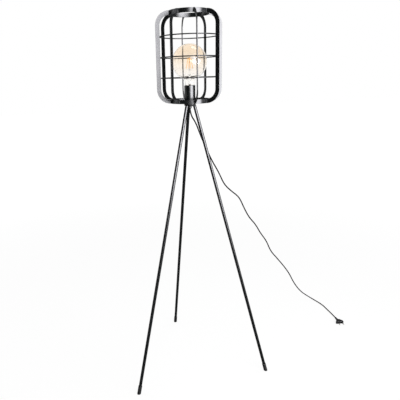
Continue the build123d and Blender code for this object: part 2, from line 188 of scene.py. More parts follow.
class Finish(Recipe):
    """A material's node tree, with the patterns that the lamp's finishes share."""

    def __init__(self, name: str) -> None:
        """Makes the material with an empty tree.

        Args:
            name: The material's name.
        """
        self.material = bpy.data.materials.new(name)
        self.material.use_nodes = True
        super().__init__(self.material.node_tree)
        self.place = self.node("ShaderNodeTexCoord").outputs["Object"]

    def axes(self) -> tuple[Value, Value, Value]:
        """The place on the object as three numbers in metres."""
        return self.parts(self.place)

    def noise(self, step: float, detail: float = 2.0, stretch: Point = (1.0, 1.0, 1.0)) -> Value:
        """Soft noise from 0 to 1.

        Args:
            step: About how far apart its lumps are, in metres.
            detail: How much finer noise is laid over it.
            stretch: How much denser it is along X, Y and Z.

        Returns:
            The noise.
        """
        spread = self.node("ShaderNodeMapping", None, {"Vector": self.place, "Scale": stretch})
        values = {"Vector": spread.outputs[0], "Scale": 1.0 / step, "Detail": detail}
        return Value(self, self.node("ShaderNodeTexNoise", None, values).outputs[0])

    def blend(self, share: Any, first: Any, second: Any) -> Socket:
        """A colour between two.

        Args:
            share: 0 for the first colour, 1 for the second.
            first: A colour or a socket.
            second: A colour or a socket.

        Returns:
            The colour's socket.
        """
        ends = [(*end, 1.0) if isinstance(end, tuple) else end for end in (first, second)]
        values = {0: share, 6: ends[0], 7: ends[1]}
        return self.node("ShaderNodeMix", {"data_type": "RGBA"}, values).outputs[2]

    def bump(self, height: Value, depth: float) -> Socket:
        """Relief on the surface.

        Args:
            height: The relief, from 0 to 1.
            depth: Its real depth in metres.

        Returns:
            The normal's socket.
        """
        values = {"Height": height, "Distance": depth, "Strength": 1.0}
        return self.node("ShaderNodeBump", None, values).outputs[0]

    def principled(self, values: dict) -> Material:
        """Ends the tree in one surface shader and returns the material."""
        surface = self.node("ShaderNodeBsdfPrincipled", None, values)
        return self.close(surface.outputs[0])

    def close(self, surface: Socket) -> Material:
        """Links a surface to the output and returns the material."""
        self.node("ShaderNodeOutputMaterial", None, {0: surface})
        return self.material


# ---- finishes ----
@dataclass(frozen=True)
class Lacquer:
    """Satin black lacquer sprayed on steel, with a fine orange peel and rubbed places."""

    name: str = "black_lacquer"
    tint: Colour = (0.0030, 0.0044, 0.0050)
    rubbed: Colour = (0.0062, 0.0080, 0.0088)
    roughness: float = 0.26
    speck: Colour = (0.05, 0.05, 0.05)
    peel: float = 1.6 * MM
    relief: float = 0.012 * MM
    slot: str = "black_lacquer"

    def material(self) -> Material:
        """Builds the finish.

        Returns:
            Its material.
        """
        finish = Finish(self.name)
        clouds = finish.noise(0.07, 4.0)
        handling = finish.noise(0.012, 5.0)
        specks = finish.noise(0.45 * MM, 1.0).past(0.70, 0.06)
        colour = finish.blend(clouds.past(0.52, 0.35), self.tint, self.rubbed)
        colour = finish.blend(specks * 0.25, colour, self.speck)
        return finish.principled(
            {
                "Base Color": colour,
                "Roughness": handling * 0.10 + specks * 0.2 + (self.roughness - 0.05),
                "IOR": 1.5,
                "Coat Weight": clouds * 0.2 + 0.15,
                "Coat Roughness": 0.22,
                "Normal": finish.bump(finish.noise(self.peel, 1.0), self.relief),
            }
        )


@dataclass(frozen=True)
class MouldedBlack:
    """Black moulded plastic with a fine spark-eroded grain."""

    name: str
    tint: Colour = (0.0080, 0.0080, 0.0085)
    roughness: float = 0.38
    grain: float = 0.35 * MM
    relief: float = 0.01 * MM
    slot: str = "holder_black"

    def material(self) -> Material:
        """Builds the finish.

        Returns:
            Its material.
        """
        finish = Finish(self.name)
        grain = finish.noise(self.grain, 2.0)
        flow = finish.noise(0.02, 3.0)
        paler = tuple(1.9 * part for part in self.tint)
        colour = finish.blend(flow.past(0.5, 0.4), self.tint, paler)
        return finish.principled(
            {
                "Base Color": colour,
                "Roughness": flow * 0.12 + grain * 0.08 + (self.roughness - 0.1),
                "IOR": 1.5,
                "Normal": finish.bump(grain, self.relief),
            }
        )


@dataclass(frozen=True)
class BareMetal:
    """Plated or bare metal with turning marks and tarnish."""

    name: str
    tint: Colour
    dull: Colour
    roughness: float = 0.24
    marks: Point = (1.0, 1.0, 14.0)

    def material(self) -> Material:
        """Builds the finish.

        Returns:
            Its material.
        """
        finish = Finish(self.name)
        tarnish = finish.noise(0.009, 5.0)
        turning = finish.noise(1.2 * MM, 3.0, self.marks)
        colour = finish.blend(tarnish.past(0.55, 0.3), self.tint, self.dull)
        return finish.principled(
            {
                "Base Color": colour,
                "Metallic": 1.0,
                "Roughness": tarnish * 0.2 + turning * 0.12 + (self.roughness - 0.1),
                "Normal": finish.bump(turning, 0.02 * MM),
            }
        )


@dataclass(frozen=True)
class Ceramic:
    """Glazed white ceramic with a faint warm cast and pin holes."""

    name: str = "white_ceramic"
    tint: Colour = (0.80, 0.78, 0.73)
    warm: Colour = (0.70, 0.67, 0.60)
    hole: Colour = (0.35, 0.31, 0.26)

    def material(self) -> Material:
        """Builds the finish.

        Returns:
            Its material.
        """
        finish = Finish(self.name)
        cast = finish.noise(0.012, 3.0)
        holes = finish.noise(0.7 * MM, 1.0).past(0.74, 0.05)
        colour = finish.blend(cast, self.tint, self.warm)
        colour = finish.blend(holes * 0.6, colour, self.hole)
        return finish.principled(
            {
                "Base Color": colour,
                "Roughness": cast * 0.2 + 0.2,
                "Coat Weight": 0.4,
                "Normal": finish.bump(cast - holes, 0.05 * MM),
            }
        )


@dataclass(frozen=True)
class GlobeGlass:
    """Amber glass that turns clear from the crown down to the neck, the clear part being painted glow
    of the lit filaments.

    The painted glow's start and length are measured in the globe's radius, from its centre.
    """

    centre: float
    radius: float
    painted_glow_start: float = 0.62
    painted_glow_length: float = 1.5
    name: str = "amber_glass"
    amber: Colour = (1.0, 0.90, 0.775)
    # The clear tint is the colour of the painted glow towards the neck.
    clear: Colour = (1.0, 0.99, 0.975)

    def material(self) -> Material:
        """Builds the finish.

        Returns:
            Its material.
        """
        finish = Finish(self.name)
        height = (finish.axes()[2] - self.centre) / self.radius
        cloud = finish.noise(0.03, 3.0) - 0.5
        # The share of clear glass below the start is painted glow of the lit filaments.
        share = (self.painted_glow_start - height + cloud * 0.2) / self.painted_glow_length
        share = share.math("MAXIMUM", 0.0).math("MINIMUM", 1.0)
        return finish.principled(
            {
                "Base Color": finish.blend(share, self.amber, self.clear),
                "Roughness": 0.0,
                "Transmission Weight": 1.0,
                "IOR": 1.46,
                "Normal": finish.bump(finish.noise(0.028, 1.0), 0.12 * MM),
            }
        )


@dataclass(frozen=True)
class PlainGlass:
    """Clear or black glass with small seeds in it."""

    name: str
    tint: Colour
    transmission: float = 1.0
    ior: float = 1.47

    def material(self) -> Material:
        """Builds the finish.

        Returns:
            Its material.
        """
        finish = Finish(self.name)
        seeds = finish.noise(2.5 * MM, 2.0)
        darker = tuple(0.9 * part for part in self.tint)
        return finish.principled(
            {
                "Base Color": finish.blend(seeds * 0.3, self.tint, darker),
                "Roughness": seeds * 0.05 + 0.02,
                "Transmission Weight": self.transmission,
                "IOR": self.ior,
                "Normal": finish.bump(seeds, 0.02 * MM),
            }
        )


@dataclass(frozen=True)
class Phosphor:
    """The amber phosphor of a filament stick, with its row of chips showing through."""

    name: str = "filament"
    tint: Colour = (1.0, 0.46, 0.07)
    chip: Colour = (1.0, 0.60, 0.16)
    pitch: float = 2.4 * MM

    def material(self) -> Material:
        """Builds the finish.

        Returns:
            Its material.
        """
        finish = Finish(self.name)
        height = finish.axes()[2]
        chips = (height * (2 * math.pi / self.pitch)).math("COSINE") * 0.5 + 0.5
        grain = finish.noise(0.3 * MM, 2.0)
        colour = finish.blend(chips.past(0.6, 0.5), self.tint, self.chip)
        return finish.principled(
            {
                "Base Color": colour,
                "Roughness": grain * 0.2 + 0.35,
                "Emission Color": colour,
                "Emission Strength": 0.30,
                "Normal": finish.bump(grain, 0.05 * MM),
            }
        )


@dataclass(frozen=True)
class Jacket:
    """The cord's black jacket: soft plastic with a fine grain and scuffs."""

    name: str = "cord_black"
    tint: Colour = (0.0040, 0.0040, 0.0044)
    scuffed: Colour = (0.012, 0.012, 0.013)
    roughness: float = 0.50
    grain: float = 1.5 * MM

    def material(self) -> Material:
        """Builds the finish.

        Returns:
            Its material.
        """
        finish = Finish(self.name)
        scuffs = finish.noise(0.02, 5.0)
        grain = finish.noise(self.grain, 3.0)
        colour = finish.blend(scuffs.past(0.6, 0.2), self.tint, self.scuffed)
        return finish.principled(
            {
                "Base Color": colour,
                "Roughness": scuffs * 0.18 + grain * 0.1 + (self.roughness - 0.12),
                "Normal": finish.bump(grain, 0.03 * MM),
            }
        )


@dataclass(frozen=True)
class Rubber:
    """Dull black rubber with dust near the floor."""

    name: str = "foot_rubber"
    tint: Colour = (0.0045, 0.0045, 0.0045)
    dust: Colour = (0.024, 0.023, 0.021)
    dust_height: float = 6 * MM
    dust_fade: float = 10 * MM

    def material(self) -> Material:
        """Builds the finish.

        Returns:
            Its material.
        """
        finish = Finish(self.name)
        height = finish.axes()[2]
        grain = finish.noise(0.6 * MM, 3.0)
        low = 1.0 - height.past(self.dust_height, self.dust_fade)
        colour = finish.blend(grain * low * 0.5, self.tint, self.dust)
        return finish.principled(
            {
                "Base Color": colour,
                "Roughness": grain * 0.2 + 0.5,
                "Normal": finish.bump(grain, 0.04 * MM),
            }
        )


@dataclass(frozen=True)
class PinMetal:
    """A plug's pins: nickel at the tips, black sleeves by the plug's face.

    The face is a point on the plug's face, and the heading is the direction that the pins take.
    """

    face: Sequence[float]
    heading: Sequence[float]
    sleeve: float = 10 * MM
    bright: Colour = (0.62, 0.60, 0.56)
    worn: Colour = (0.45, 0.43, 0.40)
    black: Colour = (0.012, 0.012, 0.012)
    name: str = "nickel_pins"
    slot: str = "nickel_brass"

    def material(self) -> Material:
        """Builds the finish.

        Returns:
            Its material.
        """
        finish = Finish(self.name)
        x, y, _ = finish.axes()
        along = (x - self.face[0]) * self.heading[0] + (y - self.face[1]) * self.heading[1]
        bare = along.past(self.sleeve, 0.1 * MM)
        wear = finish.noise(1.5 * MM, 4.0)
        metal = finish.blend(wear.past(0.6, 0.3), self.bright, self.worn)
        return finish.principled(
            {
                "Base Color": finish.blend(bare, self.black, metal),
                "Metallic": bare,
                "Roughness": 0.5 - bare * 0.28 + wear * 0.1,
                "Normal": finish.bump(wear, 0.01 * MM),
            }
        )


@dataclass(frozen=True)
class Coat:
    """A finish that is made: its material and the record's slot that it belongs to."""

    material: Material
    slot: str


class Paint:
    """The lamp's finishes, each made once and handed out by its name."""

    def __init__(self, finishes: Iterable[Any]) -> None:
        """Builds the material of each finish.

        Args:
            finishes: The finishes that the lamp has.
        """
        self.coats = {}
        for finish in finishes:
            material = finish.material()
            material.name = f"{finish.name}_finish"
            self.coats[finish.name] = Coat(material, getattr(finish, "slot", finish.name))

    def __getitem__(self, name: str) -> Coat:
        """The coat of a name."""
        return self.coats[name]


# ---- pieces ----
def show(thing: bpy.types.Object) -> None:
    """Links an object to the scene."""
    bpy.context.scene.collection.objects.link(thing)


def smooth(mesh: Mesh, crease: float = 32.0) -> Mesh:
    """Shades a mesh smooth, apart from its sharp edges.

    Args:
        mesh: The mesh.
        crease: The angle in degrees from which an edge is sharp.

    Returns:
        The same mesh.
    """
    mesh.polygons.foreach_set("use_smooth", [True] * len(mesh.polygons))
    mesh.set_sharp_from_angle(angle=math.radians(crease))
    return mesh


def add_piece(
    name: str, mesh: Mesh, body: str, coat: Coat, replaced: Sequence[str] = ()
) -> bpy.types.Object:
    """Puts a finished mesh in the scene, on its body.

    Args:
        name: The piece's name.
        mesh: Its mesh, already in place.
        body: The body that it rides on.
        coat: Its finish.
        replaced: The CAD nodes that it stands for.

    Returns:
        The piece.
    """
    mesh.materials.clear()
    mesh.materials.append(coat.material)
    piece = bpy.data.objects.new(name, mesh)
    show(piece)
    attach(piece, body)
    if replaced:
        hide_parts(*replaced)
    log.info("%s: %d faces on %s", name, len(mesh.polygons), body)
    return piece


def softened(node: str, body: str, coat: Coat, edge: float = 0.0) -> bpy.types.Object:
    """A CAD node's merged copy, smooth where it is round and with its edges eased.

    Args:
        node: The CAD node, which the copy stands for.
        body: The body that it rides on.
        coat: Its finish.
        edge: The radius of its eased edges in metres, 0 for none.

    Returns:
        The piece.
    """
    work = bmesh.new()
    work.from_mesh(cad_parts[node].data)
    bmesh.ops.remove_doubles(work, verts=work.verts, dist=0.002 * MM)
    bmesh.ops.dissolve_limit(work, angle_limit=math.radians(0.05), verts=work.verts, edges=work.edges)
    mesh = bpy.data.meshes.new(f"{node}_eased")
    work.to_mesh(mesh)
    work.free()
    piece = add_piece(f"{node}_eased", smooth(mesh), body, coat, [node])
    if edge:
        bevel = piece.modifiers.new("eased edges", "BEVEL")
        bevel.width, bevel.segments = edge, 2
        bevel.limit_method, bevel.angle_limit = "ANGLE", math.radians(35)
        bevel.harden_normals = True
    return piece


def turned(profile: Sequence[tuple[float, float]], name: str, sides: int = 96) -> Mesh:
    """A turned shape about the lamp's axis.

    Args:
        profile: Its closed outline, as radius and height in metres.
        name: The mesh's name.
        sides: How many sides it has.

    Returns:
        The mesh.
    """
    work = bmesh.new()
    outline = [work.verts.new((radius, 0.0, height)) for radius, height in profile]
    edges = [work.edges.new(pair) for pair in zip(outline, outline[1:] + outline[:1])]
    bmesh.ops.spin(
        work,
        geom=outline + edges,
        axis=(0, 0, 1),
        cent=(0, 0, 0),
        steps=sides,
        angle=2 * math.pi,
        use_merge=True,
    )
    bmesh.ops.remove_doubles(work, verts=work.verts, dist=0.001 * MM)
    bmesh.ops.recalc_face_normals(work, faces=work.faces)
    mesh = bpy.data.meshes.new(name)
    work.to_mesh(mesh)
    work.free()
    return mesh


class Pattern(Recipe):
    """A Geometry Nodes tree with named sizes, turned into plain meshes."""

    def __init__(self, name: str, sizes: dict[str, float | int]) -> None:
        """Makes the tree with one input for each size.

        Args:
            name: The tree's name.
            sizes: The inputs' names with their usual values.
        """
        super().__init__(bpy.data.node_groups.new(name, "GeometryNodeTree"))
        sockets = self.tree.interface
        sockets.new_socket("Mesh", in_out="OUTPUT", socket_type="NodeSocketGeometry")
        self.keys: dict[str, str] = {}
        for label, usual in sizes.items():
            kind = "NodeSocketInt" if isinstance(usual, int) else "NodeSocketFloat"
            socket = sockets.new_socket(label, in_out="INPUT", socket_type=kind)
            socket.default_value = usual
            self.keys[label] = socket.identifier
        finish = sockets.new_socket("Finish", in_out="INPUT", socket_type="NodeSocketMaterial")
        self.keys["Finish"] = finish.identifier
        self.source = self.node("NodeGroupInput")

    def size(self, label: str) -> Value:
        """One of the named sizes as a value."""
        return Value(self, self.source.outputs[label])

    def vector(self, x: Any, y: Any, z: Any) -> Socket:
        """A vector's socket from three values."""
        return self.node("ShaderNodeCombineXYZ", None, {0: x, 1: y, 2: z}).outputs[0]

    def close(self, geometry: Socket) -> None:
        """Ends the tree in Realize Instances and Set Material.

        Args:
            geometry: What the tree has made.
        """
        real = self.node("GeometryNodeRealizeInstances", None, {"Geometry": geometry})
        values = {"Geometry": real.outputs[0], "Material": self.source.outputs["Finish"]}
        dressed = self.node("GeometryNodeSetMaterial", None, values)
        self.node("NodeGroupOutput", None, {0: dressed.outputs[0]})

    def mesh(self, name: str, coat: Coat, sizes: dict[str, float | int]) -> Mesh:
        """Runs the tree.

        Args:
            name: The mesh's name.
            coat: Its finish.
            sizes: The sizes that differ from the usual ones.

        Returns:
            A plain mesh.
        """
        holder = bpy.data.objects.new(name, bpy.data.meshes.new(f"{name}_start"))
        show(holder)
        run = holder.modifiers.new(name, "NODES")
        run.node_group = self.tree
        for label, value in sizes.items():
            run[self.keys[label]] = value
        run[self.keys["Finish"]] = coat.material
        view = bpy.context.evaluated_depsgraph_get()
        made = bpy.data.meshes.new_from_object(holder.evaluated_get(view))
        holder.modifiers.remove(run)
        bpy.data.objects.remove(holder)
        made.name = name
        return made


def weld_pattern() -> Pattern:
    """Weld beads in stacks on both sides of each rib, in a ring about the lamp's axis.

    Returns:
        The tree. Side is how far the beads lie from a rib's middle, and Step is the rise between
        two beads of a stack.
    """
    sizes = {
        "Ribs": 8,
        "Radius": 0.1,
        "Height": 1.2,
        "Turn": 0.0,
        "Side": 1.5 * MM,
        "Stack": 1,
        "Step": 1.5 * MM,
        "Bead": 1.0 * MM,
        "Seed": 1,
    }
    pattern = Pattern("weld beads", sizes)
    ball = {"Radius": pattern.size("Bead"), "Subdivisions": 2}
    bead = pattern.node("GeometryNodeMeshIcoSphere", None, ball)
    step = pattern.vector(0.0, 0.0, pattern.size("Step"))
    rows = []
    for side in (-1, 1):
        aside = pattern.size("Side") * side
        start = pattern.vector(pattern.size("Radius"), aside, pattern.size("Height"))
        values = {"Count": pattern.size("Stack"), "Start Location": start, "Offset": step}
        rows.append(pattern.node("GeometryNodeMeshLine", None, values).outputs[0])
    both = pattern.node("GeometryNodeJoinGeometry")
    for row in rows:
        pattern.tree.links.new(row, both.inputs[0])
    spread = {2: 0.86, 3: 1.14, "Seed": pattern.size("Seed")}
    uneven = pattern.node("FunctionNodeRandomValue", {"data_type": "FLOAT"}, spread)
    values = {"Points": both.outputs[0], "Instance": bead.outputs[0], "Scale": uneven.outputs[1]}
    beads = pattern.node("GeometryNodeInstanceOnPoints", None, values)
    centre = pattern.node("GeometryNodePoints", None, {"Count": pattern.size("Ribs")})
    number = Value(pattern, pattern.node("GeometryNodeInputIndex").outputs[0])
    turn = number * (2 * math.pi) / pattern.size("Ribs") + pattern.size("Turn")
    rotation = pattern.vector(0.0, 0.0, turn)
    values = {"Points": centre.outputs[0], "Instance": beads.outputs[0], "Rotation": rotation}
    pattern.close(pattern.node("GeometryNodeInstanceOnPoints", None, values).outputs[0])
    return pattern


def thread_pattern() -> Pattern:
    """A rolled thread: a sleeve whose radius waves once in each pitch along a helix.

    Returns:
        The tree. Sides and Rings count the sleeve's points around and up.
    """
    sizes = {
        "Radius": 0.013,
        "Depth": 1.0 * MM,
        "Pitch": 3.6 * MM,
        "Bottom": 0.0,
        "Height": 0.02,
        "Sides": 97,
        "Rings": 121,
    }
    pattern = Pattern("rolled thread", sizes)
    values = {"Size X": 1.0, "Size Y": 1.0}
    values |= {"Vertices X": pattern.size("Sides"), "Vertices Y": pattern.size("Rings")}
    grid = pattern.node("GeometryNodeMeshGrid", None, values)
    across, along, _ = pattern.parts(pattern.node("GeometryNodeInputPosition").outputs[0])
    around = (across + 0.5) * (2 * math.pi)
    up = (along + 0.5) * pattern.size("Height")
    phase = up / pattern.size("Pitch") * (2 * math.pi) - around
    radius = pattern.size("Radius") - pattern.size("Depth") * (0.5 - phase.math("COSINE") * 0.5)
    height = up + pattern.size("Bottom")
    x, y = radius * around.math("COSINE"), radius * around.math("SINE")
    place = pattern.vector(x, y, height)
    values = {"Geometry": grid.outputs[0], "Position": place}
    sleeve = pattern.node("GeometryNodeSetPosition", None, values)
    values = {"Geometry": sleeve.outputs[0], "Distance": 0.002 * MM}
    pattern.close(pattern.node("GeometryNodeMergeByDistance", None, values).outputs[0])
    return pattern


def close_ends(mesh: Mesh) -> Mesh:
    """Fills a sleeve's open ends with flat faces that point outwards.

    Args:
        mesh: The sleeve.

    Returns:
        The same mesh.
    """
    work = bmesh.new()
    work.from_mesh(mesh)
    bmesh.ops.holes_fill(work, edges=[edge for edge in work.edges if edge.is_boundary])
    bmesh.ops.recalc_face_normals(work, faces=work.faces)
    work.to_mesh(mesh)
    work.free()
    return mesh


@dataclass
class Cage:
    """The black lacquered cage: two bands, eight ribs, three hoops and the cross bar.

    A weld's side is how far its beads lie from the rib's middle. The beads' middles sink into
    a hoop by a share of its wire's radius, and into a band by a length. A band's stack of beads
    starts its foot above the band's lower edge.
    """

    paint: Paint
    ribs: int = 8
    turn: float = math.radians(-93.1)
    edge: float = 0.35 * MM
    hoops: tuple[str, ...] = ("hoop_lower", "hoop_middle", "hoop_upper")
    bands: tuple[str, ...] = ("top_ring", "bottom_ring")
    bead: float = 1.0 * MM
    hoop_side: float = 1.135 * MM
    hoop_sink: float = 0.35
    band_side: float = 0.685 * MM
    band_sink: float = 0.1 * MM
    band_foot: float = 0.9 * MM
    band_beads: int = 29
    band_step: float = 0.45 * MM

    def build(self) -> None:
        """Dresses the bars and welds them."""
        lamp = Body.LAMP.value
        lacquer = self.paint["black_lacquer"]
        for number in range(self.ribs):
            softened(f"rib_{number + 1}", lamp, lacquer, self.edge)
        for band in self.bands:
            softened(band, lamp, lacquer, self.edge)
        for hoop in self.hoops:
            softened(hoop, lamp, lacquer)
        softened("cross_bar", lamp, lacquer, self.edge)
        self.weld(weld_pattern(), lacquer)

    def weld(self, pattern: Pattern, lacquer: Coat) -> None:
        """Adds the beads where hoops and bands meet the ribs.

        Args:
            pattern: The tree that lays the beads.
            lacquer: Their finish.
        """
        shared = {"Ribs": self.ribs, "Turn": self.turn, "Bead": self.bead}
        rings = {}
        for seed, hoop in enumerate(self.hoops):
            low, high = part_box(hoop)
            rings[hoop] = {
                "Radius": high.x - self.hoop_sink * (high.z - low.z) / 2,
                "Height": (low.z + high.z) / 2,
                "Side": self.hoop_side,
                "Seed": seed,
            }
        for seed, band in enumerate(self.bands, 10):
            low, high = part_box(band)
            rings[band] = {
                "Radius": high.x - self.band_sink,
                "Height": low.z + self.band_foot,
                "Side": self.band_side,
                "Stack": self.band_beads,
                "Step": self.band_step,
                "Seed": seed,
            }
        for bar, sizes in rings.items():
            beads = smooth(pattern.mesh(bar, lacquer, shared | sizes))
            add_piece(f"{bar}_welds", beads, Body.LAMP.value, lacquer)


@dataclass
class Lampholder:
    """The hub with the tube, washer and bush through it, and the lampholder on the cross bar."""

    paint: Paint
    thread: Pattern
    edge: float = 0.3 * MM
    fine_edge: float = 0.1 * MM
    shell_wall: float = 0.35 * MM
    shell_depth: float = 0.35  # a share of the depth of the cap's thread

    def build(self) -> None:
        """Dresses the hub and the lampholder, and rolls the shell's thread."""
        for node, finish, edge in (
            ("hub", "hub_black", self.edge),
            ("lock_washer", "plated_steel", 0.0),
            ("cord_grip", "grip_black", self.edge),
            ("holder_base", "holder_lacquer", 0.0),
            ("holder_sleeve", "holder_lacquer", 0.0),
            ("holder_core", "white_ceramic", self.edge),
            ("holder_contact", "brass", self.fine_edge),
            ("terminal_screws", "plated_steel", self.fine_edge),
            ("inner_wires", "wire_insulation", 0.0),
            ("threaded_nipple", "plated_steel", 2 * self.fine_edge),
        ):
            softened(node, Body.LAMP.value, self.paint[finish], edge)
        self.shell()

    def shell(self) -> None:
        """The threaded brass shell that takes the bulb's cap."""
        low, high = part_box("holder_shell")
        pitch, depth = Thread.CAP.value
        brass = self.paint["brass"]
        sizes = {
            "Radius": high.x - self.shell_wall,
            "Depth": self.shell_depth * depth,
            "Pitch": pitch,
            "Bottom": low.z,
            "Height": high.z - low.z,
        }
        mesh = smooth(self.thread.mesh("holder_shell_rolled", brass, sizes))
        piece = add_piece("holder_shell_rolled", mesh, Body.LAMP.value, brass, ["holder_shell"])
        skin = piece.modifiers.new("wall", "SOLIDIFY")
        skin.thickness, skin.offset = self.shell_wall, 1.0


@dataclass
class Bulb:
    """The globe bulb with its cap, stem and filament sticks.

    The thread's crest lies inside the flange by the crest's inset. The flange widens over a
    shoulder with a cut corner, and its upper edge is a small lip.
    """

    paint: Paint
    thread: Pattern
    flange: float = 3.0 * MM
    wall: float = 0.4 * MM
    crest_inset: float = 0.9 * MM
    shoulder: float = 1.2 * MM
    shoulder_cut: float = 0.3 * MM
    lip: float = 0.2 * MM

    def build(self) -> None:
        """Dresses the glass and the filament, and rolls the cap's thread."""
        for node, finish in (
            ("bulb_glass", "amber_glass"),
            ("bulb_stem", "clear_glass"),
            ("bulb_insulator", "black_glass"),
            ("bulb_filament", "filament"),
            ("filament_leads", "plated_steel"),
        ):
            softened(node, Body.BULB.value, self.paint[finish])
        softened("bulb_contact", Body.BULB_THREAD.value, self.paint["brass"])
        self.cap()

    def cap(self) -> None:
        """The cap, with its rolled thread under a plain flange."""
        low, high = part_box("bulb_cap")
        pitch, depth = Thread.CAP.value
        nickel = self.paint["nickel_brass"]
        crest = high.x - self.crest_inset
        top = high.z - self.flange
        sizes = {
            "Radius": crest,
            "Depth": depth,
            "Pitch": pitch,
            "Bottom": low.z,
            "Height": top - low.z,
        }
        sleeve = smooth(self.thread.mesh("bulb_cap_rolled", nickel, sizes))
        piece = add_piece("bulb_cap_rolled", sleeve, Body.BULB.value, nickel, ["bulb_cap"])
        skin = piece.modifiers.new("wall", "SOLIDIFY")
        skin.thickness, skin.offset = self.wall, -1.0
        root = crest - depth
        inner = high.x - self.wall
        outline = [
            (root - self.wall, top - self.wall),
            (root, top - self.wall),
            (root + 0.5 * depth, top),
            (high.x - self.shoulder_cut, top + self.shoulder - self.shoulder_cut),
            (high.x, top + self.shoulder),
            (high.x, high.z - self.lip),
            (high.x - self.lip, high.z),
            (inner, high.z),
            (inner, top + self.shoulder + self.lip),
            (root - self.wall, top + self.wall),
        ]
        flange = smooth(turned(outline, "bulb_cap_flange"))
        add_piece("bulb_cap_flange", flange, Body.BULB.value, nickel)


@dataclass
class Legs:
    """Three straight tube legs that screw into the hub.

    The stud's top is measured along the leg, down from the pitch circle where the axes start.
    """

    paint: Paint
    thread: Pattern
    pitch_radius: float = 17 * MM
    pitch_height: float = 1076 * MM
    foot_radius: float = 307 * MM
    stud_top: float = -10.5 * MM
    stud_length: float = 24.35 * MM
    stud_radius: float = 4 * MM
    stud_sides: int = 33
    stud_rings: int = 235
    tube_edge: float = 0.25 * MM
    insert_edge: float = 0.2 * MM
    foot_edge: float = 0.4 * MM

    def frame_of(self, direction: float) -> Matrix:
        """The frame of a leg: its origin on the pitch circle and its Z axis down the leg.

        Args:
            direction: The direction of its foot in degrees from +X.

        Returns:
            The matrix from that frame to the lamp's.
        """
        turn = math.radians(direction)
        outward = Vector((math.cos(turn), math.sin(turn), 0.0))
        tilt = math.atan2(self.foot_radius - self.pitch_radius, self.pitch_height)
        down = outward * math.sin(tilt) - Vector((0.0, 0.0, math.cos(tilt)))
        side = outward.cross(Vector((0.0, 0.0, 1.0)))
        across = down.cross(side)
        start = outward * self.pitch_radius + Vector((0.0, 0.0, self.pitch_height))
        return Matrix.Translation(start) @ Matrix((side, across, down)).transposed().to_4x4()

    def build(self) -> None:
        """Dresses the tubes and feet, and cuts the studs' threads."""
        for leg in Leg:
            name, direction = leg.value
            body = f"{name}_body"
            softened(name, body, self.paint["black_lacquer"], self.tube_edge)
            softened(f"{name}_insert", body, self.paint["plated_steel"], self.insert_edge)
            softened(f"{name}_foot", body, self.paint["foot_rubber"], self.foot_edge)
            self.stud(name, direction)

    def stud(self, name: str, direction: float) -> None:
        """The threaded stud of one leg.

        Args:
            name: The leg's name.
            direction: The direction of its foot in degrees from +X.
        """
        pitch, depth = Thread.STUD.value
        steel = self.paint["plated_steel"]
        sizes = {
            "Radius": self.stud_radius,
            "Depth": depth,
            "Pitch": pitch,
            "Bottom": self.stud_top,
            "Height": self.stud_length,
            "Sides": self.stud_sides,
            "Rings": self.stud_rings,
        }
        piece = f"{name}_stud_cut"
        mesh = close_ends(self.thread.mesh(piece, steel, sizes))
        mesh.transform(self.frame_of(direction))
        add_piece(piece, smooth(mesh, crease=60.0), f"{name}_thread", steel, [f"{name}_stud"])


@dataclass
class Cord:
    """The cord from the hub to the floor, and the plug on its end."""

    paint: Paint
    diameter: float = 5.5 * MM
    length: float = 1.58
    relief_edge: float = 0.2 * MM
    route: tuple[Point, ...] = (
        (0.0, 0.0, 1.076),
        (0.0, 0.0, 1.045),
        (0.028, 0.020, 1.011),
        (0.050, 0.036, 0.962),
        (0.084, 0.061, 0.899),
        (0.116, 0.083, 0.844),
        (0.153, 0.109, 0.791),
        (0.184, 0.129, 0.733),
        (0.230, 0.159, 0.691),
        (0.279, 0.190, 0.653),
        (0.311, 0.208, 0.594),
        (0.346, 0.228, 0.538),
        (0.391, 0.252, 0.491),
        (0.427, 0.270, 0.435),
        (0.469, 0.289, 0.384),
        (0.499, 0.301, 0.322),
        (0.544, 0.316, 0.271),
        (0.588, 0.328, 0.220),
        (0.629, 0.334, 0.165),
        (0.661, 0.336, 0.103),
        (0.703, 0.333, 0.047),
        (0.757, 0.314, 0.010),
        (0.782, 0.250, 0.00285),
        (0.778, 0.196, 0.00285),
        (0.772, 0.150, 0.00685),
        (0.768, 0.112, 0.00685),
    )

    def build(self) -> None:
        lamp = Body.LAMP.value
        plug = [
            softened("plug_relief", lamp, self.paint["cord_black"], self.relief_edge),
            softened("plug_body", lamp, self.paint["cord_black"]),
            softened("plug_pins", lamp, self.paint["nickel_pins"]),
        ]
        curve = bpy.data.curves.new("cord_line", "CURVE")
        curve.dimensions = "3D"
        line = curve.splines.new("NURBS")
        line.points.add(len(self.route) - 1)
        for point, place in zip(line.points, self.route):
            point.co = (*place, 1.0)
        line.order_u = 3
        line.use_endpoint_u = True
        line.resolution_u = 12
        curve.bevel_depth = self.diameter / 2
        curve.bevel_resolution = 4
        curve.use_fill_caps = True
        curve.materials.append(self.paint["cord_black"].material)
        cord = bpy.data.objects.new("cord_round", curve)
        show(cord)
        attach(cord, lamp)
        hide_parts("cord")
        log.info("cord_round: %d points on %s", len(self.route), lamp)


